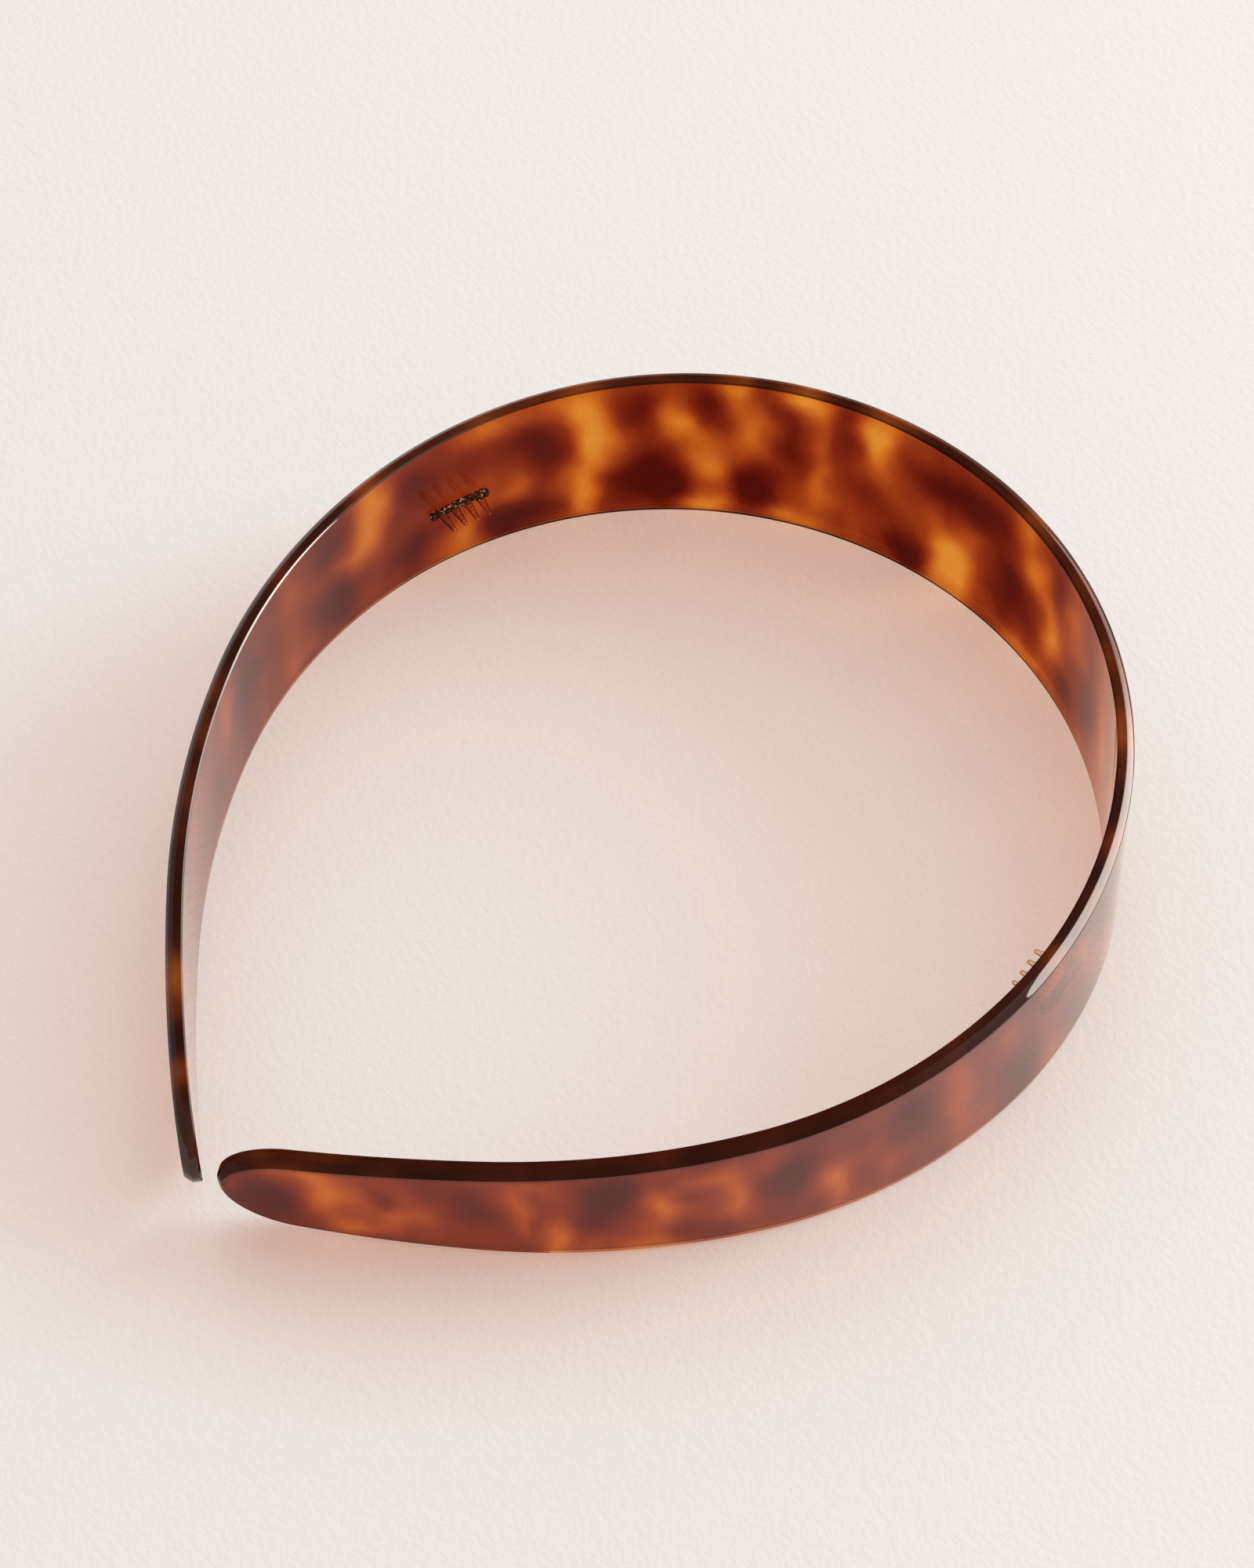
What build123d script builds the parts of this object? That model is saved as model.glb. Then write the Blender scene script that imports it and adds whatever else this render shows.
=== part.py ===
from build123d import *
import math
import os

# A hard hair band: one bent strip of polished cellulose acetate with a small
# four-tooth grip comb set into the inner face of each side.
#
# The strip is laid out in its own frame: the broad faces stand along Z, the
# crown is at +Y, the tips are at -Y and Z = 0 is the strip's mid-plane. The
# strip is narrower at the tips, so it lies on one long edge with its mid-plane
# tilted. Every piece is turned into that resting pose before it is written:
# the lower long edge is on Z = 0 and the origin is the middle of the ring.
#
# The acetate strip is one piece. It is written as a crown and two arms because
# the arms spring outwards, each about a line on the outer face where they meet.

# Driving dimensions, in millimetres and degrees.
THICKNESS = 2.4  # polished strip, face to face
CROWN_WIDTH = 31.75  # 1 1/4 in strip at the middle of the crown
EDGE_TAPER = 2.48  # lean of each long edge towards the mid-plane
OUTER_EDGE_ROUND = 1.1  # the long edges are polished round on the outer side
INNER_EDGE_ROUND = 0.4  # and only eased on the inner side
EDGE_DRESSED = 0.02  # taken off the lower long edge, so that it rests on one plane

CROWN_RADIUS = 61.8  # centreline arcs, from the crown centre to a tip
CROWN_TURN = 86.2
SHOULDER_RADIUS = 71.3
SHOULDER_TURN = 33.2
LOWER_RADIUS = 115.0
LOWER_TURN = 17.9
TIP_RADIUS = 252.0
TIP_LENGTH = 37.4  # mean arc length of the last, nearly straight stretch
OFF_CENTRE = 2.0  # the strip sits this far towards the left on its former

CROWN_Y = 74.5  # centreline of the crown, from the middle of the ring
STRAIGHT_EDGE_END_Y = -40.9  # the long edges are straight from the crown to here
EDGE_TURN_RADIUS = 300.0  # then they curve in towards the tip
TIP_ROUND = 10.1  # length of the rounded end

FLEX_TURN = 30.0  # where an arm meets the crown, in turn from the crown centre

SECTION_SPACING = 9.0  # between the cross-sections that the strip passes through
TIP_SECTIONS = 8  # closer sections round the end
TIP_LAST_ANGLE = 84.0  # the last one, as an angle round the ellipse: a 1.6 mm flat

COMB_TEETH = 4
TOOTH_PITCH = 2.1
TOOTH_ROOT = 1.55
TOOTH_TIP = 0.7
TOOTH_REACH = 4.3  # from the inner face to the tooth's tip
COMB_THICKNESS = 0.95
COMB_BASE_LENGTH = 9.4
COMB_BASE_SUNK = 0.7  # depth of the base below the inner face
COMB_BASE_PROUD = 0.75
COMB_EDGE_ROUND = 0.18
BEAD_LENGTH = 10.0  # the slot, and the adhesive that fills it
BEAD_WIDTH = 1.7
BEAD_PROUD = 0.45
SLOT_DEPTH = 0.9
# Place of each comb: arc length from the crown centre, height off the mid-plane.
COMB_PLACES = {"left": (83.6, -1.2), "right": (82.0, 1.5)}

# Worked out from the driving dimensions.
HALF_THICKNESS = THICKNESS / 2
TAPER_SLOPE = math.tan(math.radians(EDGE_TAPER))
ARC_CENTRE_Y = CROWN_Y - CROWN_RADIUS
INNER_RADIUS = CROWN_RADIUS - HALF_THICKNESS
EDGE_HEIGHT = (CROWN_WIDTH / 2 - CROWN_Y * TAPER_SLOPE) * math.cos(math.radians(EDGE_TAPER))
REST = Location((0, 0, EDGE_HEIGHT - EDGE_DRESSED)) * Rotation(EDGE_TAPER, 0, 0)


def centreline(start_turn, arcs):
    """The strip's centreline in plan: arcs that turn right, each tangent to the last."""
    angle = math.radians(start_turn)
    point = Vector(CROWN_RADIUS * math.sin(angle), ARC_CENTRE_Y + CROWN_RADIUS * math.cos(angle))
    tangent = Vector(math.cos(angle), -math.sin(angle))
    edges = []
    for radius, turn in arcs:
        arc = JernArc(point, tangent, radius, -turn)
        edges.append(arc)
        point = arc @ 1
        tangent = arc % 1
    return Wire(edges)


def half_width(y):
    """Half the strip's width at a place along Y, before the tip is rounded."""
    past = max(STRAIGHT_EDGE_END_Y - y, 0)
    return CROWN_WIDTH / 2 - (CROWN_Y - y) * TAPER_SLOPE - past**2 / (2 * EDGE_TURN_RADIUS)


def tip_share(to_tip):
    """How much of the width is left at a distance from the tip: an elliptical end."""
    along = max(1 - to_tip / TIP_ROUND, 0)
    return math.sqrt(1 - along**2)


def section(path, station, share):
    """The strip cut square at a station: flat faces and edges, with rounded corners."""
    point = path.position_at(station, position_mode=PositionMode.LENGTH)
    tangent = path.tangent_at(station, position_mode=PositionMode.LENGTH)
    outward = Vector(0, 0, 1).cross(tangent)
    inner = share * half_width(point.Y - HALF_THICKNESS * outward.Y)
    outer = share * half_width(point.Y + HALF_THICKNESS * outward.Y)
    corners = [
        (HALF_THICKNESS, outer),
        (-HALF_THICKNESS, inner),
        (-HALF_THICKNESS, -inner),
        (HALF_THICKNESS, -outer),
    ]
    square = make_face(Polyline(*corners, close=True))
    outer_corners = square.vertices().filter_by(lambda corner: corner.X > 0)
    half_rounded = fillet(outer_corners, min(OUTER_EDGE_ROUND, 0.85 * outer))
    inner_corners = half_rounded.vertices().filter_by(lambda corner: corner.X < 0.01 - HALF_THICKNESS)
    outline = fillet(inner_corners, INNER_EDGE_ROUND)
    return Plane(origin=point, x_dir=outward, z_dir=tangent) * outline


def evenly(length):
    """Stations along a stretch of the strip, close enough to follow its arcs."""
    count = math.ceil(length / SECTION_SPACING)
    return [length * index / count for index in range(count + 1)]


def crown():
    """The middle of the strip, between the two flex lines."""
    path = centreline(-FLEX_TURN, [(CROWN_RADIUS, 2 * FLEX_TURN)])
    return loft([section(path, station, 1) for station in evenly(path.length)])


def arm(side):
    """One arm, from the flex line to its tip, with its comb's slot, drawn on the right."""
    off_centre = OFF_CENTRE if side == "left" else -OFF_CENTRE
    path = centreline(FLEX_TURN, [
        (CROWN_RADIUS, CROWN_TURN - FLEX_TURN),
        (SHOULDER_RADIUS, SHOULDER_TURN),
        (LOWER_RADIUS, LOWER_TURN),
        (TIP_RADIUS, math.degrees((TIP_LENGTH + off_centre) / TIP_RADIUS)),
    ])
    sections = [section(path, station, 1) for station in evenly(path.length - TIP_ROUND)]
    for index in range(1, TIP_SECTIONS + 1):
        angle = math.radians(TIP_LAST_ANGLE * index / TIP_SECTIONS)
        to_tip = TIP_ROUND * (1 - math.sin(angle))
        sections.append(section(path, path.length - to_tip, tip_share(to_tip)))
    return loft(sections) - comb_slot(side)


def bent_bar(low, high, length):
    """Plan of a bar that follows the inner face, between two distances from its centre."""
    half_turn = math.degrees(length / 2 / INNER_RADIUS)
    far = CenterArc((0, 0), high, 90 - half_turn, 2 * half_turn)
    near = CenterArc((0, 0), low, 90 - half_turn, 2 * half_turn)
    return Face(Wire([far, Line(far @ 1, near @ 1), near, Line(near @ 0, far @ 0)]))


def tooth(turn):
    """Plan of one tapered tooth, pointing at the centre of the inner face's arc."""
    root_y = INNER_RADIUS - COMB_BASE_PROUD / 2
    tip_y = INNER_RADIUS - TOOTH_REACH
    shoulder_y = tip_y + TOOTH_TIP / 2
    side = Line((-TOOTH_ROOT / 2, root_y), (-TOOTH_TIP / 2, shoulder_y))
    end = ThreePointArc(side @ 1, (0, tip_y), (TOOTH_TIP / 2, shoulder_y))
    other = Line(end @ 1, (TOOTH_ROOT / 2, root_y))
    root = Line(other @ 1, side @ 0)
    return Rot(0, 0, -turn) * Face(Wire([side, end, other, root]))


def comb_place(side):
    """Where a comb sits on the right-hand inner face."""
    station, height = COMB_PLACES[side]
    turn = math.degrees(station / CROWN_RADIUS)
    return Pos(0, ARC_CENTRE_Y, height) * Rot(0, 0, -turn)


def comb(side):
    """The clear grip comb: a bent base and a row of tapered teeth."""
    low = INNER_RADIUS - COMB_BASE_PROUD
    plan = bent_bar(low, INNER_RADIUS + COMB_BASE_SUNK, COMB_BASE_LENGTH)
    step = math.degrees(TOOTH_PITCH / INNER_RADIUS)
    for index in range(COMB_TEETH):
        plan += tooth((index - (COMB_TEETH - 1) / 2) * step)
    body = extrude(plan, amount=COMB_THICKNESS / 2, both=True)
    flat_edges = body.edges().group_by(Axis.Z)
    body = fillet(flat_edges[0] + flat_edges[-1], COMB_EDGE_ROUND)
    return comb_place(side) * body


def bead_bar(low):
    """The slot's space, from its bottom to a distance from the arc's centre."""
    plan = bent_bar(low, INNER_RADIUS + SLOT_DEPTH, BEAD_LENGTH)
    return extrude(plan, amount=BEAD_WIDTH / 2, both=True)


def comb_slot(side):
    """The slot milled in the inner face for a comb's base."""
    return comb_place(side) * bead_bar(INNER_RADIUS - 1)


def adhesive(side):
    """The bead that fills the slot round the comb's base and stands a little proud."""
    body = bead_bar(INNER_RADIUS - BEAD_PROUD)
    return comb_place(side) * body - comb(side)


def main():
    """Build every piece, turn it into the resting pose and write it."""
    pieces = {"crown": crown()}
    for side in ("left", "right"):
        made = {
            f"{side}_arm": arm(side),
            f"{side}_comb": comb(side),
            f"{side}_comb_adhesive": adhesive(side),
        }
        for name, solid in made.items():
            pieces[name] = mirror(solid, about=Plane.YZ) if side == "left" else solid
    below_rest = Pos(0, 0, -CROWN_WIDTH / 2) * Box(4 * CROWN_Y, 4 * CROWN_Y, CROWN_WIDTH)
    os.makedirs("parts", exist_ok=True)
    for name, solid in pieces.items():
        placed = REST * solid - below_rest
        placed.label = name
        export_step(placed, f"parts/{name}.step")


main()
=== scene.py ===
import math

import bmesh
import bpy
from mathutils import Matrix, Vector, noise


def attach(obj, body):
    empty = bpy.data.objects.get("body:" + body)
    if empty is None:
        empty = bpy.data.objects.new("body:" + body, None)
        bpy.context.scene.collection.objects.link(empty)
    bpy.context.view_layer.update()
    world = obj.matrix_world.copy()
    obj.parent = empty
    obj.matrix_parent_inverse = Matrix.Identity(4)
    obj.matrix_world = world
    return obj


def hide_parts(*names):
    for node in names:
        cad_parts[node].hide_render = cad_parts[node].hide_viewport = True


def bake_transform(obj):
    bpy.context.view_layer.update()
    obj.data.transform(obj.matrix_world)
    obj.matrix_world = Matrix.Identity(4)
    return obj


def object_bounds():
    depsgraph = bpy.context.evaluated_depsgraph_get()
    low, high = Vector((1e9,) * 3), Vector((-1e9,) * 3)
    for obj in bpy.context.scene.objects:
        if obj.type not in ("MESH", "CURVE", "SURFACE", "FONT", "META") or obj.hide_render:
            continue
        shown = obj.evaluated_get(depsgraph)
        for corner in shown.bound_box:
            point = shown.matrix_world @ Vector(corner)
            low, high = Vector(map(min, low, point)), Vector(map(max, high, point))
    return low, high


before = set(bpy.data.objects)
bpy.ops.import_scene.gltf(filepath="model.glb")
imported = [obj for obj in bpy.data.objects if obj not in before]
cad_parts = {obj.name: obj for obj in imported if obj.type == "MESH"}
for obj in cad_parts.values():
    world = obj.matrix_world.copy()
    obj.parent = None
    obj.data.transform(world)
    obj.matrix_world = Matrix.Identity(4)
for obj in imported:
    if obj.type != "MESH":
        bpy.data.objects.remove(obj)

# A tortoiseshell acetate headband lying on one long edge on pale paper. The strip is one
# closed skin for each half. A small clear comb is cemented to the inner face on each side.
#
# The strip is laid out as in the CAD: its broad faces stand along Z, its crown is at +Y
# and its tips are at -Y. A point of it is (station, across, out): how far it is along the
# strip from the crown's centre, across the strip's width from its mid-plane, and
# outwards from the middle of its thickness. Lengths are millimetres, and become metres
# when a vertex is placed.
MM = 0.001
CAD_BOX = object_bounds()

THICKNESS = 2.4
CROWN_WIDTH = 31.75
EDGE_TAPER = math.radians(2.48)  # lean of each long edge towards the mid-plane
CROWN_RADIUS = 61.8
# The centreline's arcs from the crown's centre to the stretch at the tip, as (radius, turn).
UPPER_ARCS = (
    (CROWN_RADIUS, math.radians(86.2)),
    (71.3, math.radians(33.2)),
    (115.0, math.radians(17.9)),
)
TIP_RADIUS = 252.0
TIP_LENGTH = {"left": 39.4, "right": 35.4}
SIDE_SIGN = {"left": -1, "right": 1}
CROWN_Y = 74.5  # the crown's centreline, from the middle of the ring
STRAIGHT_EDGE_END_Y = -40.9  # the long edges are straight from the crown to here
EDGE_TURN_RADIUS = 300.0  # then they curve in towards the tip
TIP_ROUND = 10.1  # length of the rounded end
EDGE_DRESSED = 0.02  # the CAD's lower long edge is dressed flat by this much

BEND_START, BEND_END = 2.0, 76.0  # stations between which an arm's spring is spread

# Place of each comb: station, and height off the mid-plane.
COMB_PLACES = {"left": (83.6, -1.2), "right": (82.0, 1.5)}

# Worked out from the dimensions above.
HALF = THICKNESS / 2
ARC_CENTRE_Y = CROWN_Y - CROWN_RADIUS
INNER_RADIUS = CROWN_RADIUS - HALF
TAPER_SLOPE = math.tan(EDGE_TAPER)
EDGE_HEIGHT = (CROWN_WIDTH / 2 - CROWN_Y * TAPER_SLOPE) * math.cos(EDGE_TAPER)
REST = Matrix.Translation((0, 0, EDGE_HEIGHT - EDGE_DRESSED)) @ Matrix.Rotation(EDGE_TAPER, 4, "X")


def limited(value):
    """A value kept between 0 and 1."""
    return min(max(value, 0), 1)


def add_object(name, data):
    """A new object, linked to the scene."""
    thing = bpy.data.objects.new(name, data)
    bpy.context.scene.collection.objects.link(thing)
    return thing


# ---------------------------------------------------------------- shape of the strip

# The corners of the long edges are polished off: how far in from the edge, how far down
# from the face, and how far the polish runs on into the face.
OUTER_BEVEL = (0.9, 1.1, 0.35)
INNER_BEVEL = (0.2, 0.24, 0.15)
BEVEL_STEPS = (0, 0.05, 0.12, 0.5, 0.88, 0.95, 1)
BEVEL_BULGE = 0.06
CREASE_GAP = 0.07  # from a bevel to the next vertices on the edge, close to keep the crease crisp
FACE_CROWN = 0.03  # the polished faces bulge this much
FACE_STEPS = 26
ROW_SPACING = 1.0
SEAM_ROW = 0.05  # the second row of vertices is this close to the crown's centre
TIP_STEPS = 18
SAME_PLACE = 1e-7  # metres


def arcs(side):
    """The centreline's arcs on one side: (radius, turn), from the crown's centre to the tip."""
    return (*UPPER_ARCS, (TIP_RADIUS, TIP_LENGTH[side] / TIP_RADIUS))


def strip_length(side):
    return sum(radius * turn for radius, turn in arcs(side))


def centreline(side, station):
    """(x, y, turn) of the centreline at a station, drawn on the right."""
    x, y, turn = 0.0, CROWN_Y, 0.0
    for radius, arc_turn in arcs(side):
        step = min(station / radius, arc_turn)
        x += radius * (math.sin(turn + step) - math.sin(turn))
        y += radius * (math.cos(turn + step) - math.cos(turn))
        turn += step
        station -= radius * step
        if station <= 0:
            break
    return x, y, turn


def half_width(y):
    """Half the strip's width at a place along Y, before the tip is rounded."""
    past = max(STRAIGHT_EDGE_END_Y - y, 0)
    return CROWN_WIDTH / 2 - (CROWN_Y - y) * TAPER_SLOPE - past**2 / (2 * EDGE_TURN_RADIUS)


def in_place(side, station, across, out):
    """Where a point of the strip lies in the shared frame, in metres."""
    x, y, turn = centreline(side, station)
    square_y = y + out * math.cos(turn)
    across *= half_width(square_y) / half_width(y)
    point = Vector((SIDE_SIGN[side] * (x + out * math.sin(turn)), square_y, across))
    return REST @ point * MM


def outline(side):
    """The upper long edge as (station, half width), from the crown's centre to the tip's end."""
    length = strip_length(side)
    straight = length - TIP_ROUND
    count = math.ceil(straight / ROW_SPACING)
    points = [(0.0, half_width(CROWN_Y)), (SEAM_ROW, half_width(CROWN_Y))]
    for index in range(1, count + 1):
        station = straight * index / count
        points.append((station, half_width(centreline(side, station)[1])))
    for index in range(1, TIP_STEPS + 1):
        angle = math.pi / 2 * index / TIP_STEPS
        station = length - TIP_ROUND * (1 - math.sin(angle))
        points.append((station, half_width(centreline(side, station)[1]) * math.cos(angle)))
    return points


def edge_profile():
    """The bevelled long edge as (inset, out), from the inner face to the outer face."""
    points = []
    for (inset, drop, run), face in ((INNER_BEVEL, -1), (OUTER_BEVEL, 1)):
        corner = [(inset + run, face * HALF)]
        for step in BEVEL_STEPS:
            bulge = 4 * BEVEL_BULGE * step * (1 - step)
            corner.append((inset * (1 - step - bulge), face * (HALF - drop * (step - bulge))))
        corner.append((0, face * (HALF - drop - CREASE_GAP)))
        points += corner if face < 0 else reversed(corner)
    return points


def across_face(start, face):
    """The points across the outer face (1), going down, or the inner face (-1), going up."""
    station, top, _ = start
    points = []
    for index in range(1, FACE_STEPS):
        share = 1 - 2 * index / FACE_STEPS
        bulge = FACE_CROWN * (1 - share**2) * top / (CROWN_WIDTH / 2)
        points.append((station, top * share * face, face * (HALF + bulge)))
    return points


def cross_line(point, normal):
    """One closed line of points round the strip, through a point of its outline."""
    station, width = point
    upper = [
        (station - inset * normal[0], max(width - inset * normal[1], 0), out)
        for inset, out in edge_profile()
    ]
    lower = [(place, -across, out) for place, across, out in reversed(upper)]
    return [*upper, *across_face(upper[-1], 1), *lower, *across_face(upper[0], -1)]


def outward(points, index):
    """The outline's outward direction at one of its points: (along the strip, across it)."""
    if index == len(points) - 1:
        return 1.0, 0.0
    before, after = points[max(index - 1, 0)], points[index + 1]
    along, across = after[0] - before[0], after[1] - before[1]
    size = math.hypot(along, across)
    return -across / size, along / size


def join_rows(build, rows):
    """Faces between each closed row of vertices and the next."""
    for row, following in zip(rows, rows[1:]):
        for index in range(len(row)):
            build.faces.new((row[index - 1], row[index], following[index], following[index - 1]))


def band_rows(build, side):
    """Rows of vertices round the strip, with what the material needs to know of each vertex."""
    sheet = build.verts.layers.float_vector.new("sheet")  # signed station, across and out
    amber = build.verts.layers.float.new("amber")  # how amber the pattern is
    hem = build.verts.layers.float.new("hem")  # distance from the nearer long edge
    points = outline(side)
    rows = []
    for index, point in enumerate(points):
        row = []
        for station, across, out in cross_line(point, outward(points, index)):
            vertex = build.verts.new(in_place(side, station, across, out))
            vertex[sheet] = (SIDE_SIGN[side] * station, across, out)
            vertex[amber] = amber_share(SIDE_SIGN[side] * station, across, out)
            vertex[hem] = point[1] - abs(across)
            row.append(vertex)
        rows.append(row)
    return rows


def band_half(side):
    """One half of the strip, from the crown's centre to its tip, as one closed skin."""
    build = bmesh.new()
    rows = band_rows(build, side)
    join_rows(build, rows)
    cap = build.faces.new(rows[0])
    bmesh.ops.remove_doubles(build, verts=rows[-1], dist=SAME_PLACE)
    bmesh.ops.recalc_face_normals(build, faces=build.faces)
    for face in build.faces:
        face.smooth = face is not cap
    for edge in cap.edges:
        edge.smooth = False
    mesh = bpy.data.meshes.new(f"band_{side}")
    build.to_mesh(mesh)
    build.free()
    return add_object(f"band_{side}", mesh)


# ---------------------------------------------------------------- pattern of the sheet

# Where the sheet glows amber (positive) and where it is dark (negative), as
# (station, across, reach along, reach across, strength). Stations left of the
# crown's centre are negative.
PATCHES = (
    # left arm
    (-199, 4, 2.5, 8, 0.6), (-193.5, 6, 2.5, 8, -0.7), (-185, 9, 5, 6, 0.9),
    (-171, 9, 6, 5, -0.6), (-158, 4, 6, 5, 0.3), (-147, -4, 5, 5, -0.3),
    (-146, 12, 4, 1.5, 0.3), (-138, 5, 3, 7, 0.45), (-130, 1, 4, 10, -0.45),
    (-116, -9, 6, 3, 0.3), (-117, 5, 7, 3, 0.25), (-107, 8, 5, 4, -0.4),
    (-107, -7, 4.5, 4.5, -0.55), (-98, 8, 3.5, 7, 0.8), (-103, 1, 6, 2.2, 0.45),
    (-91, -8, 3.5, 4.5, -0.5), (-90, 6, 5, 5, -0.45), (-83, -11, 3.5, 4.5, 0.8),
    (-76, 11, 6, 2.5, 0.4), (-74, -11, 7, 3, -0.75), (-74, -4.5, 3, 2.5, 0.35),
    (-69, 4, 4.5, 6, -0.6),
    # crown
    (-64, 10, 4, 5, 0.75), (-61, 1, 3, 5, 0.75), (-63.5, -9, 2.6, 7, 0.8),
    (-55, 8, 4, 5, -0.5), (-53, -8, 6, 6, -1.0), (-49.5, 5, 3, 4, 0.6),
    (-44.5, 9, 2.6, 5, -0.7), (-45, -5, 4.5, 4, 0.6), (-45, -14, 4, 2, 0.7),
    (-40.5, 13, 2, 3, 0.6), (-38.5, -9, 3.8, 5, -1.0), (-38, 3, 2.4, 6, 0.45),
    (-32.5, 3, 2.4, 8, -0.5), (-30, 13, 3.5, 2.6, 0.9), (-33, -14, 4, 2, 0.7),
    (-28, -3, 1.8, 8, 0.45), (-24, 9, 2.6, 6, -0.4), (-21, -4, 4.5, 6, -0.45),
    (-18.5, 9, 2.6, 6, 0.95), (-14, -12, 3.6, 4, -0.7), (-5, 7, 8, 4, -0.8),
    (-5.5, -10, 3.8, 7, 1.25), (4, 10, 4.5, 5, -0.6), (8, -4, 5.5, 7, -0.7),
    (9.5, 13, 2.6, 4, 0.7), (12.5, 6, 2.4, 4, 0.6), (17, -2, 2.4, 7, 0.8),
    (13, -14.5, 9, 1.8, 0.55), (19, 9, 3, 5, -0.5), (21.5, -11, 4.5, 4, -0.55),
    (25, 8, 3, 7, 0.25), (31.5, 0, 4, 12, -0.45), (39, -4, 2.5, 6, 0.6),
    (47, 10, 4, 5, 0.5),
    # right arm
    (104, 1, 3, 10, 0.4), (112, 3, 5, 8, -0.35), (122.5, -6, 2.6, 7, 0.65),
    (128.5, 1, 3, 9, -0.5), (136, -2, 2.6, 5, 0.6), (141, 5, 4.5, 1.8, 0.55),
    (146, 0, 2, 4, 0.65), (143.5, -7.5, 3, 2, -0.4), (149, -10, 4, 2, 0.5),
    (154, 3, 4.5, 6, -0.6), (160, -7, 2.4, 5, 0.7), (165.5, 0, 1.8, 6, 0.5),
    (172, 1, 4, 5, -0.55), (180, -3, 5, 3, 0.5), (183, 1.2, 1.3, 1.1, -0.6),
    (187, -7, 5, 2, 0.5), (190, 1, 3.5, 4.5, 0.6), (194, 6.5, 4, 2.5, 0.7),
    (200, -2, 4.5, 7, -0.6),
)
PATCH_STRENGTH = 0.62
PATCH_CUT = 2.5  # a patch is left out beyond this many times its reach along the strip
DRIFT = 1.8  # the patches' outlines wander by about this much
DRIFT_SPACING = 5
DRIFT_SLICE = 9  # the level of the noise field that the drift is read from
DRIFT_SEED = 1
CLOUD_SPACING = (8, 11, 6)  # size of the clouds between the patches: along, across, out
CLOUD_SLICE = 4
CLOUD_OCTAVES = 2
CLOUD_STRENGTH = 0.2
BARE_STRETCH = (52, 98)  # stations that have no patches, where stronger clouds take their place
BARE_FADE = 6
BARE_CLOUD_STRENGTH = 0.4  # added to the clouds there
MIDDLE_SHARE = 0.45
# The arms are a little darker than the crown: the centre of the lighter stretch, how far
# it reaches to each side, and over what distance it fades.
LIGHT_CENTRE, LIGHT_REACH, LIGHT_FADE = -10, 55, 40
ARM_DARKER = 0.10


def amber_share(station, across, out):
    """How amber the sheet is: about 0 in the dark islands and 1 in the brightest veins."""
    along_size, across_size, out_size = CLOUD_SPACING
    place = Vector((station / along_size, across / across_size, out / out_size + CLOUD_SLICE))
    wander = Vector((station / DRIFT_SPACING, across / DRIFT_SPACING, DRIFT_SLICE))
    drift = noise.noise_vector(wander) * DRIFT
    bare = limited(min(station - BARE_STRETCH[0], BARE_STRETCH[1] - station) / BARE_FADE)
    arm = limited((abs(station - LIGHT_CENTRE) - LIGHT_REACH) / LIGHT_FADE)
    clouds = noise.fractal(place, 1.0, 2.0, CLOUD_OCTAVES)
    share = MIDDLE_SHARE - ARM_DARKER * arm + (CLOUD_STRENGTH + BARE_CLOUD_STRENGTH * bare) * clouds
    for patch_station, patch_across, along_reach, across_reach, strength in PATCHES:
        along = (station + drift.x - patch_station) / along_reach
        if abs(along) < PATCH_CUT:
            away = along**2 + ((across + drift.y - patch_across) / across_reach) ** 2
            share += PATCH_STRENGTH * strength * math.exp(-away)
    return share


# ---------------------------------------------------------------- combs and their cement

# These two are built flat, as (along, off the face, across), and then bent onto the strip.
COMB_TEETH = 4
TOOTH_PITCH = 2.1
TOOTH_ROOT = 1.5
TOOTH_TIP = 0.62
TOOTH_REACH = 4.5
TOOTH_STEPS = 8
TOOTH_THINNING = 0.28  # share of its thickness that a tooth loses towards the tip
TIP_ANGLES = (0.35, 0.7, 1.0, 1.25, 1.45)  # the rings round a tooth's end
COMB_THICKNESS = 0.95
COMB_BASE_LENGTH = 9.2
COMB_BASE_PROUD = 0.7
TEETH_START = COMB_BASE_PROUD * 0.4  # the teeth begin inside the base
BAR_END_ANGLES = (0.25, 0.6, 0.95, 1.3, math.pi / 2)  # the rings round a bar's end
BAR_END_HEIGHT = 0.6  # share of a bar's height that is left at its very end
BEAD_LENGTH = 9.9
BEAD_WIDTH = 1.3
BEAD_PROUD = 0.9
SUNK = 0.12  # how far the combs and the cement reach into the inner face
RING_POINTS = 24
BAR_POWER, TOOTH_POWER = 3.0, 2.6  # 2 is an ellipse, and more is squarer
VOXEL = 0.07
COMB_SMOOTHING, CEMENT_SMOOTHING = 3, 1

# The cement's surface: (waves per millimetre, height) of its lumps and of its grains.
CEMENT_LUMPS = (1.1, 0.22)
CEMENT_GRAINS = (3.7, 0.14)
CEMENT_SEED = Vector((7.0, 3.0, 11.0))
CEMENT_FADE = 0.3  # the lumps fade in over this height, so the bead stays in touch with the strip


def rounded_ring(width, depth, power):
    """A closed outline between an ellipse and a rectangle, as (x, y) pairs."""
    points = []
    for index in range(RING_POINTS):
        angle = 2 * math.pi * index / RING_POINTS
        cosine, sine = math.cos(angle), math.sin(angle)
        reach = (abs(cosine) ** power + abs(sine) ** power) ** (-1 / power)
        points.append((width / 2 * reach * cosine, depth / 2 * reach * sine))
    return points


def tube(build, rings):
    """A closed skin through rings of vertices, capped at both ends."""
    rows = [[build.verts.new(point) for point in ring] for ring in rings]
    join_rows(build, rows)
    build.faces.new(rows[0])
    build.faces.new(rows[-1])


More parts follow.
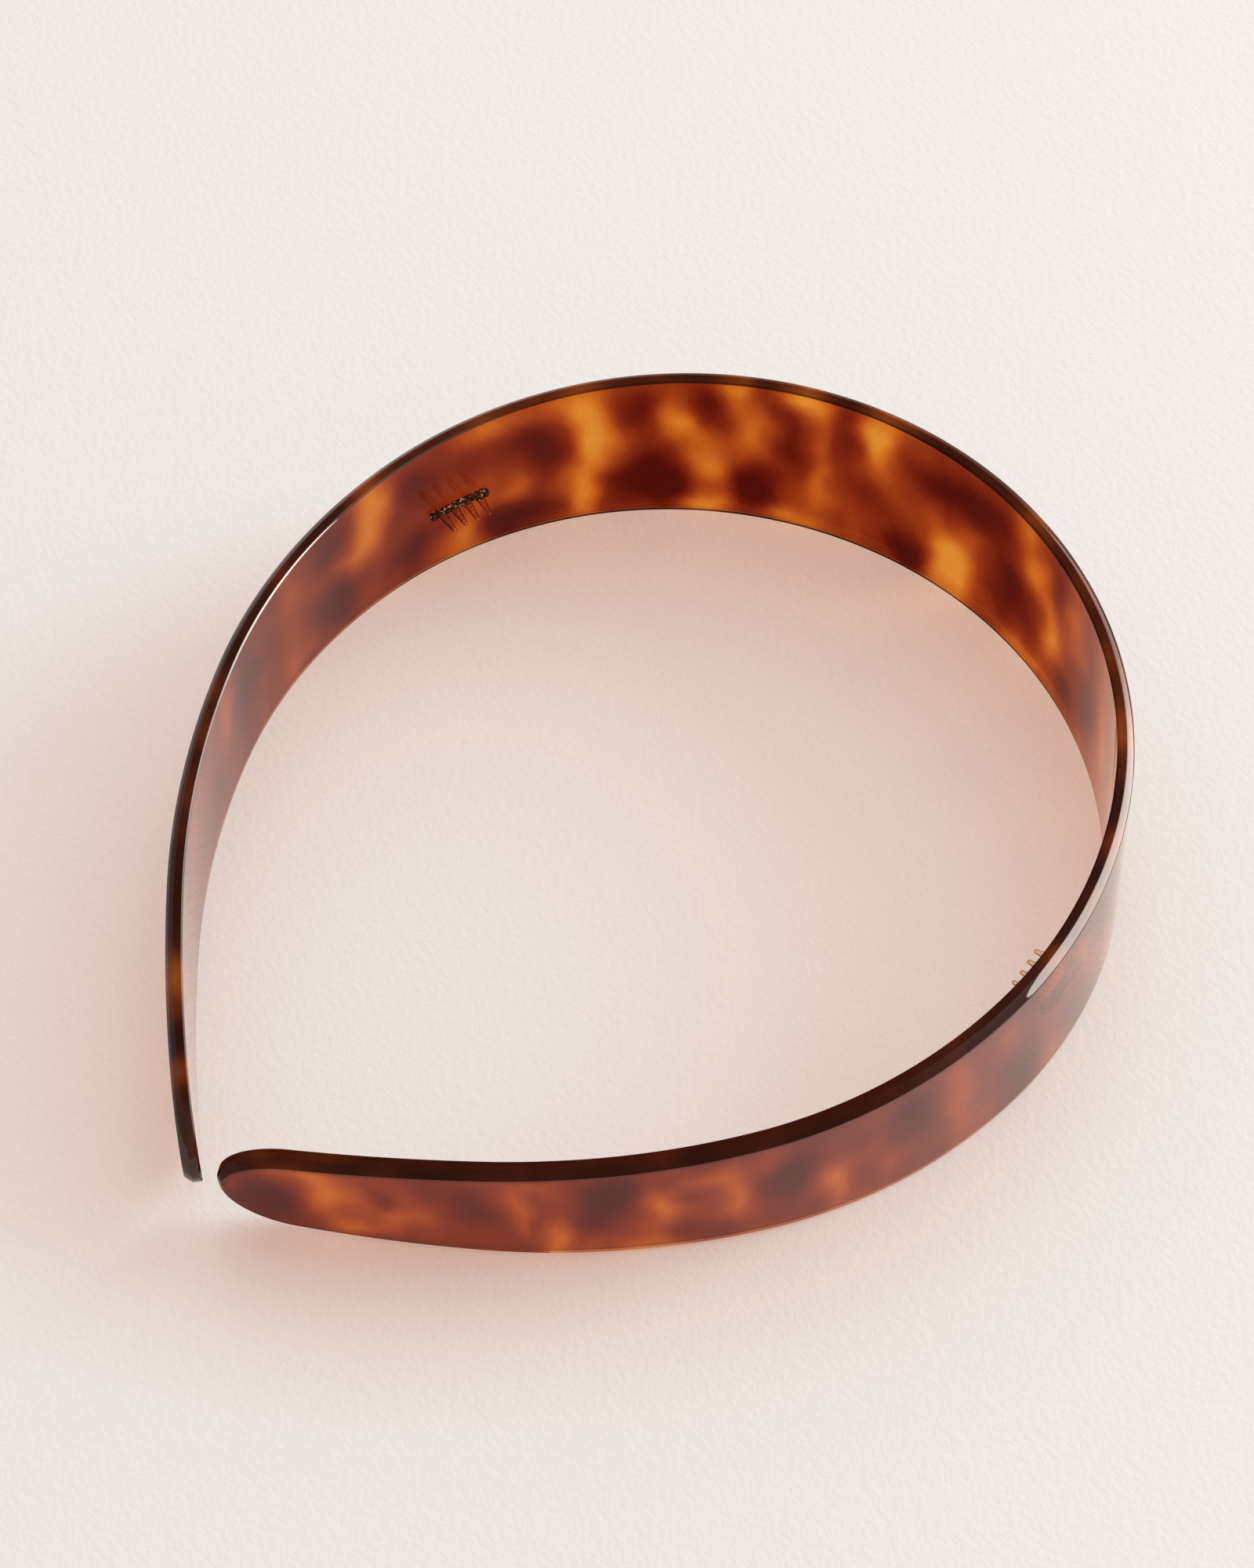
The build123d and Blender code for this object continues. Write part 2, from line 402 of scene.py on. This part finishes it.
def add_bar(build, length, width, low, high):
    """A bar along the strip with rounded ends, from a low to a high distance off the face."""
    middle, height = (low + high) / 2, high - low
    stops = [
        (-length / 2 + width / 2 * (1 - math.cos(angle)), math.sin(angle))
        for angle in BAR_END_ANGLES
    ]
    stops += [(-along, share) for along, share in reversed(stops)]
    rings = []
    for along, share in stops:
        left = height * (BAR_END_HEIGHT + (1 - BAR_END_HEIGHT) * share)
        ring = rounded_ring(width * share, left, BAR_POWER)
        rings.append([(along, middle + y, x) for x, y in ring])
    tube(build, rings)


def add_tooth(build, along):
    """One tapered tooth with a round tip."""
    tip_centre = TOOTH_REACH - TOOTH_TIP / 2
    sizes = []
    for index in range(TOOTH_STEPS + 1):
        share = index / TOOTH_STEPS
        width = TOOTH_ROOT + (TOOTH_TIP - TOOTH_ROOT) * share**0.9
        depth = COMB_THICKNESS * (1 - TOOTH_THINNING * share)
        sizes.append((width, depth, TEETH_START + (tip_centre - TEETH_START) * share))
    for angle in TIP_ANGLES:
        width = TOOTH_TIP * math.cos(angle)
        depth = COMB_THICKNESS * (1 - TOOTH_THINNING) * math.cos(angle)
        sizes.append((width, depth, tip_centre + TOOTH_TIP / 2 * math.sin(angle)))
    tube(build, [
        [(along + x, off, y) for x, y in rounded_ring(width, depth, TOOTH_POWER)]
        for width, depth, off in sizes
    ])


def remeshed(name, build, smoothing):
    """The union of what was built, as one even closed skin."""
    mesh = bpy.data.meshes.new(name)
    bmesh.ops.recalc_face_normals(build, faces=build.faces)
    build.to_mesh(mesh)
    build.free()
    piece = add_object(name, mesh)
    remesh = piece.modifiers.new("remesh", "REMESH")
    remesh.mode = "VOXEL"
    remesh.voxel_size = VOXEL
    smooth = piece.modifiers.new("smooth", "SMOOTH")
    smooth.factor = 0.5
    smooth.iterations = smoothing
    evaluated = piece.evaluated_get(bpy.context.evaluated_depsgraph_get())
    final = bpy.data.meshes.new_from_object(evaluated)
    piece.modifiers.clear()
    piece.data = final
    bpy.data.meshes.remove(mesh)
    final.shade_smooth()
    return piece


def bend_onto_face(piece, side):
    """Moves a flat piece onto the inner face, in metres."""
    station, height = COMB_PLACES[side]
    for vertex in piece.data.vertices:
        along, off, across = vertex.co
        turn = (station + along * CROWN_RADIUS / INNER_RADIUS) / CROWN_RADIUS
        radius = INNER_RADIUS - off
        point = Vector((
            SIDE_SIGN[side] * radius * math.sin(turn),
            ARC_CENTRE_Y + radius * math.cos(turn),
            height + across,
        ))
        vertex.co = REST @ point * MM
    if side == "left":
        piece.data.flip_normals()


def comb(side):
    """The clear comb: a bar and a row of teeth."""
    build = bmesh.new()
    add_bar(build, COMB_BASE_LENGTH, COMB_THICKNESS, -SUNK, COMB_BASE_PROUD)
    for index in range(COMB_TEETH):
        add_tooth(build, (index - (COMB_TEETH - 1) / 2) * TOOTH_PITCH)
    piece = remeshed(f"comb_{side}", build, COMB_SMOOTHING)
    bend_onto_face(piece, side)
    return piece


def cement(side):
    """The rough bead of cement along a comb's root."""
    build = bmesh.new()
    add_bar(build, BEAD_LENGTH, BEAD_WIDTH, -SUNK, BEAD_PROUD)
    piece = remeshed(f"comb_{side}_adhesive", build, CEMENT_SMOOTHING)
    seed = CEMENT_SEED * SIDE_SIGN[side]
    normals = [vertex.normal.copy() for vertex in piece.data.vertices]
    for vertex, normal in zip(piece.data.vertices, normals):
        rough = sum(
            height * noise.noise(vertex.co * waves + seed)
            for waves, height in (CEMENT_LUMPS, CEMENT_GRAINS)
        )
        vertex.co += normal * rough * limited((vertex.co.y + SUNK) / CEMENT_FADE)
    bend_onto_face(piece, side)
    return piece


# ---------------------------------------------------------------- node trees

class Nodes:
    """A short way to write a node tree."""

    def __init__(self, tree):
        self.tree = tree
        self.tree.nodes.clear()

    def add(self, kind, inputs=None, **settings):
        node = self.tree.nodes.new(kind)
        for key, value in settings.items():
            setattr(node, key, value)
        for key, value in (inputs or {}).items():
            self.feed(node.inputs[key], value)
        return node

    def feed(self, socket, value):
        """Links another node's output to a socket, or sets the socket's value."""
        if isinstance(value, bpy.types.NodeSocket):
            self.tree.links.new(value, socket)
        elif socket.type == "RGBA":
            socket.default_value = (*value, 1)
        else:
            socket.default_value = value

    def math(self, operation, a, b=0.0, clamp=False):
        node = self.add("ShaderNodeMath", {0: a, 1: b}, operation=operation, use_clamp=clamp)
        return node.outputs[0]

    def ramp(self, value, stops, mode="B_SPLINE"):
        """A colour ramp; each stop is (place, colour or grey)."""
        node = self.add("ShaderNodeValToRGB", {"Fac": value})
        node.color_ramp.interpolation = mode
        elements = node.color_ramp.elements
        while len(elements) < len(stops):
            elements.new(0.5)
        for element, (place, colour) in zip(elements, stops):
            element.position = place
            element.color = (*colour, 1) if isinstance(colour, tuple) else (colour, colour, colour, 1)
        return node.outputs["Color"]

    def mix(self, factor, first, second):
        """Two colours mixed by a factor."""
        node = self.add("ShaderNodeMix", {"Factor": factor}, data_type="RGBA")
        for key, value in (("A", first), ("B", second)):
            socket = [s for s in node.inputs if s.name == key and s.type == "RGBA"][0]
            self.feed(socket, value)
        return [s for s in node.outputs if s.type == "RGBA"][0]

    def split(self, vector):
        """A vector's three parts."""
        return self.add("ShaderNodeSeparateXYZ", {"Vector": vector}).outputs[:]

    def blend(self, factor, first, second):
        """Two surfaces mixed by a factor."""
        inputs = {0: factor, 1: first.outputs[0], 2: second.outputs[0]}
        return self.add("ShaderNodeMixShader", inputs)

    def noise(self, vector, scale, detail=2.0, roughness=0.5):
        inputs = {"Vector": vector, "Scale": scale, "Detail": detail, "Roughness": roughness}
        return self.add("ShaderNodeTexNoise", inputs).outputs["Fac"]

    def bump(self, height, strength, distance):
        inputs = {"Height": height, "Strength": strength, "Distance": distance}
        return self.add("ShaderNodeBump", inputs).outputs[0]

    def attribute(self, name, output="Fac"):
        return self.add("ShaderNodeAttribute", attribute_name=name).outputs[output]

    def object_place(self):
        """Where the point is in the object, in metres."""
        return self.add("ShaderNodeTexCoord").outputs["Object"]

    def ray(self, kind):
        """1 for rays of one kind, and 0 for others."""
        return self.add("ShaderNodeLightPath").outputs[f"Is {kind} Ray"]


def new_material(name):
    """An empty material, and its nodes."""
    material = bpy.data.materials.new(name)
    material.use_nodes = True
    return material, Nodes(material.node_tree)


def finished(material, nodes, surface):
    """The material, with a surface node as what it shows."""
    nodes.add("ShaderNodeOutputMaterial", {"Surface": surface.outputs[0]})
    return material


# ---------------------------------------------------------------- acetate

ACETATE_IOR = 1.49
POLISH = 0.03  # roughness of the mirror glare
SEAM_REACH = 1e-4  # the skin's two halves are capped at the crown's centre, and light passes these caps

# What is left of light that passes through the sheet, from its darkest to its most amber places.
SHEET_TINTS = (
    (0.00, (0.085, 0.005, 0.002)),
    (0.20, (0.17, 0.012, 0.003)),
    (0.42, (0.33, 0.043, 0.007)),
    (0.62, (0.56, 0.112, 0.012)),
    (0.80, (0.73, 0.21, 0.020)),
    (1.00, (0.84, 0.32, 0.040)),
)
# Seen through a long edge the sheet is as deep as it is wide, so almost no light comes through.
EDGE_COLOURS = (
    (0.15, (0.030, 0.006, 0.003)),
    (0.42, (0.047, 0.008, 0.004)),
    (0.70, (0.18, 0.032, 0.006)),
    (1.00, (0.36, 0.09, 0.014)),
)
WISP_STRETCH = (0.16, 0.1, 0.3)  # fine wisps in the pattern, in waves per millimetre
WISP_STRENGTH = 0.35
GLARE_COLOUR = (1.0, 0.94, 0.91)
# Light that the sheet casts on other things is nearly all of one colour.
CAST_TINT = (0.89, 0.73, 0.655)
CAST_SHARE = 0.8

# How strong the mirror glare is along each part of the strip: its greatest strength, and
# that strength's share at each of several stations.
GLARE_SPAN = 400.0  # length of strip that the ramps of glare run over
INNER_FACE_GLARE = (
    1.24, ((-152, 1.0), (-116, 0.75), (-76, 0.2), (-52, 0.04), (12, 0.06), (44, 1.0)))
OUTER_FACE_GLARE = (
    2.0, ((20, 0.5), (64, 0.60), (84, 0.67), (100, 0.64), (120, 0.55), (152, 0.35)))
INNER_BEVEL_GLARE = (
    2.6, ((-180, 0.15), (-144, 0.4), (-120, 1.0), (-92, 1.0), (-68, 0.04)))
OUTER_BEVEL_GLARE = (
    2.0, ((-88, 0.48), (-40, 0.15), (32, 0.15), (56, 0.65), (96, 0.65), (120, 0.1)))
# How the parts are told apart, by how much a point's normal stands up.
BEVEL_TILT = ((0.05, 0.0), (0.2, 1.0))
EDGE_TILT = ((0.85, 1.0), (0.96, 0.05))

# How much of the sheet's depth is seen near the long edges. On the upper edge, and on the
# bottom of the lower one, it goes by how much the normal stands up.
TOP_DEPTH = ((0.12, 0.0), (0.45, 1.0))
LIP_DEPTH = ((0.85, 0.0), (0.98, 0.8))
# On the outer face below the upper edge, it goes by the distance from the edge over HEM_SPAN.
HEM_SPAN = 3.0
HEM_DEPTH = ((0.33, 0.62), (0.72, 0.0))
# On the inner face along the lower edge it is a fine dark line of painted shade, for the shaded
# edge seen from inside the sheet. It goes by the distance from the edge, and by the distance
# from the crown's centre over LINE_SPAN.
PAINTED_LINE_SHADE = ((0.55, 1.0), (0.85, 0.0))
LINE_SPAN = 100.0
LINE_FADE = ((0.9, 1.0), (1.0, 0.0))


def flat_sheet(nodes, stretch=(1, 1, 1)):
    """Where a point was in the flat sheet the strip was cut from, in millimetres unless stretched."""
    inputs = {"Vector": nodes.attribute("sheet", "Vector"), "Scale": stretch}
    return nodes.add("ShaderNodeMapping", inputs).outputs["Vector"]


def glare_along(nodes, station, glare):
    """The strength of the glare along one part of the strip."""
    strength, stops = glare
    along = nodes.math("ADD", nodes.math("DIVIDE", station, GLARE_SPAN), 0.5)
    places = [(place / GLARE_SPAN + 0.5, share) for place, share in stops]
    return nodes.math("MULTIPLY", nodes.ramp(along, places, "EASE"), strength)


def glare_share(nodes, station, faces_out, upright):
    """How strong the mirror glare is. It is dulled inside the crown, as by a filter on the lens."""
    inner, outer, inner_bevel, outer_bevel = (
        glare_along(nodes, station, glare)
        for glare in (INNER_FACE_GLARE, OUTER_FACE_GLARE, INNER_BEVEL_GLARE, OUTER_BEVEL_GLARE)
    )
    faces = nodes.mix(faces_out, inner, outer)
    bevels = nodes.mix(faces_out, inner_bevel, outer_bevel)
    on_bevel = nodes.ramp(upright, BEVEL_TILT, "EASE")
    off_edge = nodes.ramp(upright, EDGE_TILT, "EASE")
    strength = nodes.math("MULTIPLY", nodes.mix(on_bevel, faces, bevels), off_edge)
    inside = nodes.add("ShaderNodeNewGeometry").outputs["Backfacing"]
    return nodes.math("MAXIMUM", strength, inside)


def edge_depth_and_painted_line(nodes, station, across, faces_out, upright):
    """How much of the sheet's depth is seen at a point, which is only at the long edges, and a painted
    line of shade along the crown's lower edge on the inner face.
    """
    hem = nodes.attribute("hem")
    below = nodes.ramp(nodes.math("DIVIDE", hem, HEM_SPAN), HEM_DEPTH, "EASE")
    below = nodes.math("MULTIPLY", below, faces_out)
    upper = nodes.math("MAXIMUM", nodes.ramp(upright, TOP_DEPTH, "EASE"), below)
    lip = nodes.ramp(upright, LIP_DEPTH, "EASE")
    # painted shade: a fine dark line along the crown's lower edge, on the inner face
    line = nodes.ramp(hem, PAINTED_LINE_SHADE, "EASE")
    from_centre = nodes.math("DIVIDE", nodes.math("ABSOLUTE", station), LINE_SPAN)
    line = nodes.math("MULTIPLY", line, nodes.ramp(from_centre, LINE_FADE))
    line = nodes.math("MULTIPLY", line, nodes.math("SUBTRACT", 1.0, faces_out))
    lower = nodes.math("MAXIMUM", lip, line)
    return nodes.mix(nodes.math("LESS_THAN", across, 0.0), upper, lower)


def tortoiseshell():
    """Polished clear acetate, tinted where light enters and leaves it, with mirror glare."""
    material, nodes = new_material("tortoiseshell_acetate")
    station, across, out = nodes.split(flat_sheet(nodes))
    normal = nodes.add("ShaderNodeNewGeometry").outputs["Normal"]
    upright = nodes.math("ABSOLUTE", nodes.split(normal)[2])
    faces_out = nodes.math("GREATER_THAN", out, INNER_BEVEL[1] - HALF)

    wisps = nodes.noise(flat_sheet(nodes, WISP_STRETCH), 1.0, detail=3.0, roughness=0.55)
    wisps = nodes.math("MULTIPLY", nodes.math("SUBTRACT", wisps, 0.5), WISP_STRENGTH)
    share = nodes.math("ADD", nodes.attribute("amber"), wisps)
    through = nodes.ramp(share, SHEET_TINTS, "CARDINAL")
    # Light passes the skin twice on its way through the sheet, so each pass takes the square root.
    tint = nodes.add("ShaderNodeGamma", {"Color": through, "Gamma": 0.5}).outputs[0]

    clear = nodes.add("ShaderNodeBsdfRefraction", {"Color": tint, "Roughness": 0.0, "IOR": ACETATE_IOR})
    deep_and_painted_line = nodes.add("ShaderNodeBsdfDiffuse", {"Color": nodes.ramp(share, EDGE_COLOURS)})
    # The deep colour also paints the line of shade along the crown's lower edge.
    body = nodes.blend(edge_depth_and_painted_line(nodes, station, across, faces_out, upright), clear, deep_and_painted_line)
    mirror = nodes.add("ShaderNodeBsdfAnisotropic", {"Color": GLARE_COLOUR, "Roughness": POLISH})
    fresnel = nodes.add("ShaderNodeFresnel", {"IOR": ACETATE_IOR}).outputs[0]
    place_share = glare_share(nodes, station, faces_out, upright)
    glare = nodes.math("MULTIPLY", fresnel, place_share, clamp=True)
    skin = nodes.blend(glare, body, mirror)

    lighting = nodes.math("MAXIMUM", nodes.ray("Shadow"), nodes.ray("Diffuse"))
    cast = {"Color": nodes.mix(CAST_SHARE, tint, CAST_TINT)}
    skin = nodes.blend(lighting, skin, nodes.add("ShaderNodeBsdfTransparent", cast))
    seam = nodes.math("LESS_THAN", nodes.math("ABSOLUTE", station), SEAM_REACH)
    skin = nodes.blend(seam, skin, nodes.add("ShaderNodeBsdfTransparent"))
    return finished(material, nodes, skin)


# ---------------------------------------------------------------- other materials

PLASTIC_IOR = 1.15  # lower than the real plastic's, so that the small teeth stay clear
# The plastic's tint and glare, from faces seen square on to faces seen from the side. Seen from the
# side it goes brown and then nearly black: painted shade standing in for the dark outlines of the clear
# teeth.
PLASTIC_TINTS_AND_OUTLINES = (
    (0.25, (0.97, 0.84, 0.68)),
    (0.60, (0.64, 0.38, 0.20)),
    (0.85, (0.10, 0.03, 0.012)),
)
PLASTIC_GLARE = ((0.0, 0.06), (0.9, 0.12))
PLASTIC_CAST = (0.72, 0.5, 0.33)  # light that passes through the plastic onto other things
# The cement's own dark reds, then a pale last stop: painted glints, bright flecks standing in for
# highlights.
CEMENT_COLOURS_AND_GLINTS = (
    (0.35, (0.022, 0.002, 0.001)),
    (0.60, (0.08, 0.009, 0.003)),
    (0.67, (0.9, 0.6, 0.42)),
)
PAPER_COLOUR = (0.86, 0.825, 0.795)
# The grain of each surface: noise waves per metre, bump strength, and height in metres.
PLASTIC_GRAIN = (1700.0, 0.8, 0.0003)
CEMENT_GRAIN = (2600.0, 1.0, 0.0005)
PAPER_GRAIN = (900.0, 0.22, 0.0003)


def clear_plastic():
    """Moulded comb plastic: clear and faintly yellow, with painted dark outlines where its sides are
    seen.
    """
    material, nodes = new_material("clear_comb_plastic")
    waves, strength, height = PLASTIC_GRAIN
    bump = nodes.bump(nodes.noise(nodes.object_place(), waves), strength, height)
    facing = nodes.add("ShaderNodeLayerWeight", {"Blend": 0.5}).outputs["Facing"]
    clear = nodes.add("ShaderNodeBsdfRefraction", {
        "Color": nodes.ramp(facing, PLASTIC_TINTS_AND_OUTLINES),
        "Roughness": 0.03,
        "IOR": PLASTIC_IOR,
        "Normal": bump,
    })
    mirror = nodes.add("ShaderNodeBsdfAnisotropic", {"Roughness": 0.06, "Normal": bump})
    skin = nodes.blend(nodes.ramp(facing, PLASTIC_GLARE), clear, mirror)
    cast = nodes.add("ShaderNodeBsdfTransparent", {"Color": PLASTIC_CAST})
    return finished(material, nodes, nodes.blend(nodes.ray("Shadow"), skin, cast))


def dried_cement():
    """Dark red cement, broken up with bubbles and a bumpy grain, with painted glints: its brightest
    flecks are painted highlights in its colour.
    """
    material, nodes = new_material("dried_cement")
    waves, strength, height = CEMENT_GRAIN
    # One noise gives both the grain's real bumps and, at its peaks, the painted glints.
    grain_and_glints = nodes.noise(nodes.object_place(), waves, roughness=0.6)
    skin = nodes.add("ShaderNodeBsdfPrincipled", {
        "Base Color": nodes.ramp(grain_and_glints, CEMENT_COLOURS_AND_GLINTS, "LINEAR"),
        "Roughness": 0.1,
        "Specular IOR Level": 0.13,
        "Normal": nodes.bump(grain_and_glints, strength, height),
    })
    return finished(material, nodes, skin)


def paper():
    """Plain off-white paper with a fine grain."""
    material, nodes = new_material("paper_floor")
    waves, strength, height = PAPER_GRAIN
    grain = nodes.noise(nodes.object_place(), waves, detail=3.0, roughness=0.6)
    skin = nodes.add("ShaderNodeBsdfPrincipled", {
        "Base Color": PAPER_COLOUR,
        "Roughness": 0.85,
        "Specular IOR Level": 0.0,
        "Normal": nodes.bump(grain, strength, height),
    })
    return finished(material, nodes, skin)


# ---------------------------------------------------------------- stage

# Directions are (azimuth, elevation) in degrees. Azimuth 0 is -Y, turning towards +X.
SKY_TOWARD = (205, 42)  # the sky's brightest part
SKY_NARROWING = 3.0
SKY_LOW = (0.19, 0.187, 0.185)
SKY_HIGH = (1.0, 0.99, 0.983)
SKY_STRENGTH = 1.80
WINDOW_TOWARD = (158, 14)  # a bright round window that only mirror rays see
WINDOW_REACH = math.radians(39)
WINDOW_GLARE = (5.4, 5.0, 4.75)

# Metres, and watts.
KEY_TOWARD = (152, 20)
KEY_DISTANCE = 3.0
KEY_SIZE = 1.85
KEY_POWER = 80.0
KEY_COLOUR = (1.0, 0.99, 0.985)
FLOOR_REACH = 3.0

CAMERA_TOWARD = (45.70, 54.06)
CAMERA_DISTANCE = 670.7
CAMERA_TARGET = (-11.98, 15.43, 0)
CAMERA_ROLL = math.radians(1.205)
CAMERA_LENS = 108
CAMERA_SENSOR = 36


def direction(azimuth, elevation):
    """Unit vector from the object towards an azimuth and elevation."""
    a, e = math.radians(azimuth), math.radians(elevation)
    return Vector((math.sin(a) * math.cos(e), -math.cos(a) * math.cos(e), math.sin(e)))


def aim(thing, place, target, roll=0.0):
    """Puts a light or camera at a place, looking at a target."""
    back = (place - target).normalized()
    side = Vector((0, 0, 1)).cross(back).normalized()
    up = back.cross(side)
    turned = Matrix((side, up, back)).transposed() @ Matrix.Rotation(roll, 3, "Z")
    thing.matrix_world = Matrix.Translation(place) @ turned.to_4x4()


def floor():
    """A plain sheet under the band, well past the picture's edges."""
    corners = [
        (x * FLOOR_REACH, y * FLOOR_REACH, CAD_BOX[0].z)
        for x, y in ((-1, -1), (1, -1), (1, 1), (-1, 1))
    ]
    mesh = bpy.data.meshes.new("floor")
    mesh.from_pydata(corners, [], [(0, 1, 2, 3)])
    mesh.materials.append(paper())
    add_object("floor", mesh)


def facing_share(nodes, toward):
    """How much a ray of the sky points towards a direction: the cosine of the angle between them."""
    ray = nodes.add("ShaderNodeTexCoord").outputs["Generated"]
    inputs = {0: ray, 1: direction(*toward)}
    return nodes.add("ShaderNodeVectorMath", inputs, operation="DOT_PRODUCT").outputs["Value"]


def sky():
    """A dim room, brighter behind the band and to its left, with a window that only mirror rays see."""
    world = bpy.data.worlds.new("studio")
    bpy.context.scene.world = world
    world.use_nodes = True
    nodes = Nodes(world.node_tree)
    bright = nodes.math("POWER", facing_share(nodes, SKY_TOWARD), SKY_NARROWING, clamp=True)
    room = nodes.ramp(bright, ((0, SKY_LOW), (1, SKY_HIGH)), "LINEAR")
    window = nodes.math("GREATER_THAN", facing_share(nodes, WINDOW_TOWARD), math.cos(WINDOW_REACH))
    mirrored = nodes.math("MULTIPLY", window, nodes.ray("Glossy"))
    inputs = {"Color": nodes.mix(mirrored, room, WINDOW_GLARE), "Strength": SKY_STRENGTH}
    background = nodes.add("ShaderNodeBackground", inputs)
    nodes.add("ShaderNodeOutputWorld", {"Surface": background.outputs[0]})


def key_light():
    """A large soft lamp, low behind the crown. Mirror rays see the window in its place."""
    light = bpy.data.lights.new("key", "AREA")
    light.shape = "DISK"
    light.size = KEY_SIZE
    light.energy = KEY_POWER
    light.color = KEY_COLOUR
    lamp = add_object("key", light)
    lamp.visible_glossy = False
    aim(lamp, direction(*KEY_TOWARD) * KEY_DISTANCE, Vector((0, 0, 0)))


def camera():
    """The photograph's viewpoint: 46 degrees round to the right of the open end and 54 degrees up."""
    data = bpy.data.cameras.new("camera")
    data.sensor_width = CAMERA_SENSOR
    data.lens = CAMERA_LENS
    viewer = add_object("camera", data)
    target = Vector(CAMERA_TARGET) * MM
    aim(viewer, target + direction(*CAMERA_TOWARD) * CAMERA_DISTANCE * MM, target, CAMERA_ROLL)
    bpy.context.scene.camera = viewer


# ---------------------------------------------------------------- build

def build_band():
    noise.seed_set(DRIFT_SEED)  # Blender would take the seed of its vector noise from the clock
    acetate = tortoiseshell()
    for side in ("left", "right"):
        half = band_half(side)
        half.data.materials.append(acetate)
        start = in_place(side, BEND_START, 0, 0)
        end = in_place(side, BEND_END, 0, 0)
        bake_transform(half)
        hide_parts("crown", f"{side}_arm")


def build_combs():
    plastic, glue = clear_plastic(), dried_cement()
    for side in ("left", "right"):
        made = (
            (comb(side), plastic, "clear_plastic", f"{side}_comb"),
            (cement(side), glue, "adhesive", f"{side}_comb_adhesive"),
        )
        for piece, material, slot, node in made:
            piece.data.materials.append(material)
            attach(piece, f"{side}_arm")
            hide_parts(node)


build_band()
build_combs()
floor()
sky()
key_light()
camera()
bpy.context.scene.view_settings.view_transform = "Standard"
